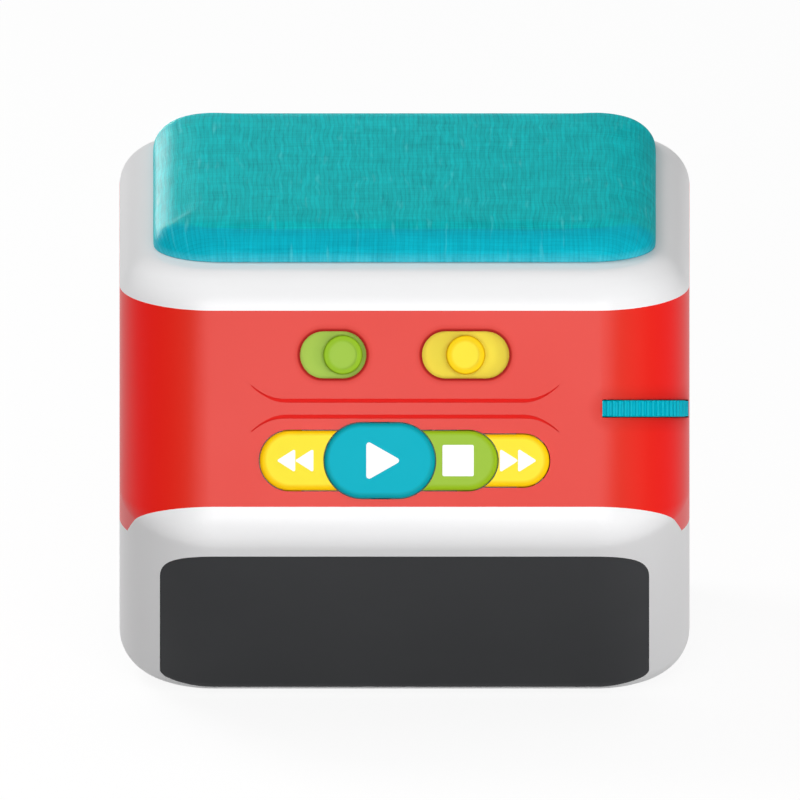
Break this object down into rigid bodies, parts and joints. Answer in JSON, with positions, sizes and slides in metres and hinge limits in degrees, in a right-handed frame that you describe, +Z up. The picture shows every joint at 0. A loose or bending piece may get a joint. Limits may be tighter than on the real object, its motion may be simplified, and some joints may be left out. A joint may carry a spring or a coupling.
{
  "type": "audio story player",
  "caption": "Rounded cube audio player for a child with a cloth speaker pad on top, a red control band with sliders, nested play keys and a volume wheel, and a dark chin panel.",
  "frame": {"origin": "middle of the footprint's bounding box, on the plane that the rubber feet stand on", "axes": "+X to the right as the user faces the controls, +Y to the back, +Z up"},
  "size_m": [0.12, 0.1374, 0.1048],
  "materials": {
    "shell": "satin white moulded plastic",
    "band": "coral red moulded plastic",
    "panel": "dark grey, fine texture",
    "cloth": "teal woven cloth",
    "grille": "black moulded plastic",
    "rubber": "matt",
    "screw": "zinc plated",
    "teal": "teal moulded plastic",
    "yellow": "yellow moulded plastic",
    "green": "green moulded plastic",
    "icon": "white",
    "board": "green laminate with a matt mask",
    "chip": "black moulded package",
    "steel": "pressed sheet",
    "magnet": "dark coated",
    "cone": "pressed paper",
    "foam": "foam",
    "cell": "plain wrapped can",
    "contact": "nickel plated spring sheet",
    "lead": "insulated wire"
  },
  "bodies": {
    "housing": {"lower_shell": "shell", "control_band": "band", "upper_shell": "shell", "housing_screws": "screw", "rubber_feet": "rubber", "chin_panel": "panel", "reader_board": "board", "fabric_cover": "cloth", "pad_frame": "grille", "speaker_basket": "steel", "speaker_gasket": "foam", "speaker_magnet": "magnet", "speaker_cone": "cone", "speaker_surround": "rubber", "speaker_dust_cap": "cone", "speaker_screws": "screw", "main_board": "board", "board_screws": "screw", "board_parts": "chip", "key_switches": "chip", "power_switch": "steel", "mode_switch": "steel", "volume_pot": "chip", "battery_bay": "grille", "batteries": "cell", "battery_contacts": "contact", "speaker_leads": "lead", "battery_leads": "lead"},
    "rewind_key": {"rewind_button": "yellow", "rewind_icon": "icon", "rewind_plunger": "chip"},
    "play_key": {"play_button": "teal", "play_icon": "icon", "play_plunger": "chip"},
    "stop_key": {"stop_button": "green", "stop_icon": "icon", "stop_plunger": "chip"},
    "forward_key": {"forward_button": "yellow", "forward_icon": "icon", "forward_plunger": "chip"},
    "power_knob": {"power_slider": "green", "power_switch_lever": "chip"},
    "mode_knob": {"mode_slider": "yellow", "mode_switch_lever": "chip"},
    "volume": {"volume_wheel": "teal", "volume_shaft": "chip"},
    "door": {"battery_door": "shell", "battery_door_screw": "screw", "door_contacts": "contact"}
  },
  "joints": [
    {"name": "rewind_press", "type": "slide", "parent": "housing", "child": "rewind_key", "axis": [0, 0.9659, -0.2588], "range_m": [0, 0.0008], "stiffness_N_per_m": 600},
    {"name": "play_press", "type": "slide", "parent": "housing", "child": "play_key", "axis": [0, 0.9659, -0.2588], "range_m": [0, 0.0008], "stiffness_N_per_m": 600},
    {"name": "stop_press", "type": "slide", "parent": "housing", "child": "stop_key", "axis": [0, 0.9659, -0.2588], "range_m": [0, 0.0008], "stiffness_N_per_m": 600},
    {"name": "forward_press", "type": "slide", "parent": "housing", "child": "forward_key", "axis": [0, 0.9659, -0.2588], "range_m": [0, 0.0008], "stiffness_N_per_m": 600},
    {"name": "power_slide", "type": "slide", "parent": "housing", "child": "power_knob", "axis": [1, 0, 0], "range_m": [-0.00406, 0]},
    {"name": "mode_slide", "type": "slide", "parent": "housing", "child": "mode_knob", "axis": [1, 0, 0], "range_m": [-0.00424, 0.00424]},
    {"name": "volume_turn", "type": "hinge", "parent": "housing", "child": "volume", "pos_m": [0.0453, -0.04874, 0.06828], "axis": [0, 0.2588, 0.9659], "range_deg": [-140, 140]},
    {"name": "battery_door_pull", "type": "slide", "parent": "housing", "child": "door", "axis": [0, 1, 0], "range_m": [0, 0.03]}
  ]
}
